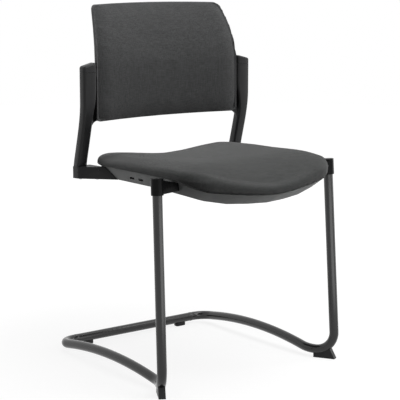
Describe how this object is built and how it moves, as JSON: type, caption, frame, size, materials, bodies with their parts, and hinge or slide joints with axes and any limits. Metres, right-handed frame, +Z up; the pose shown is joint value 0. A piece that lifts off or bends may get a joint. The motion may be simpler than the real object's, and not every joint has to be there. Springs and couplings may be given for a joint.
{
  "type": "conference chair",
  "caption": "Cantilever conference chair with a bent tube frame, an upholstered seat in a plastic pan, short rear arms with uprights, and an upholstered back panel.",
  "frame": {"origin": "on the floor, at the middle of the chair's width and depth", "axes": "+Z up, -Y the way the sitter faces, +X the sitter's left"},
  "size_m": [0.532, 0.5664, 0.8465],
  "materials": {
    "black_steel": "black powder coat, semi-gloss",
    "plain_steel": "plain flat bar",
    "glide_plastic": "black moulded plastic",
    "socket_plastic": "black moulded plastic, satin",
    "pan_plastic": "grey moulded plastic, fine texture",
    "board_wood": "plain moulded plywood",
    "fabric": "fine woven upholstery cloth",
    "arm_plastic": "black moulded plastic",
    "upright_plastic": "black moulded plastic, fine texture",
    "shell_plastic": "dark grey moulded plastic",
    "zinc": "zinc plated"
  },
  "bodies": {
    "root": {"side_tube_left": "black_steel", "side_tube_right": "black_steel", "rear_tube": "black_steel", "front_glide_left": "glide_plastic", "front_glide_right": "glide_plastic", "rear_glide_left": "glide_plastic", "rear_glide_right": "glide_plastic", "leg_socket_left": "socket_plastic", "leg_socket_right": "socket_plastic", "socket_plug_left": "socket_plastic", "socket_plug_right": "socket_plastic", "seat_pan": "pan_plastic", "seat_board": "board_wood", "front_crossbar": "plain_steel", "rear_crossbar": "plain_steel", "seat_cushion": "fabric", "arm_left": "arm_plastic", "arm_right": "arm_plastic", "upright_left": "upright_plastic", "upright_right": "upright_plastic", "upright_cap_left": "upright_plastic", "upright_cap_right": "upright_plastic", "back_shell": "shell_plastic", "back_board": "board_wood", "back_cushion": "fabric", "seat_screw_front_left": "zinc", "seat_screw_front_right": "zinc", "seat_screw_rear_left": "zinc", "seat_screw_rear_right": "zinc", "socket_screw_left": "zinc", "socket_screw_right": "zinc", "arm_screw_left": "zinc", "arm_screw_right": "zinc", "upright_screw_left": "zinc", "upright_screw_right": "zinc", "back_screw_lower_left": "zinc", "back_screw_lower_right": "zinc", "back_screw_upper_left": "zinc", "back_screw_upper_right": "zinc"}
  },
  "joints": []
}
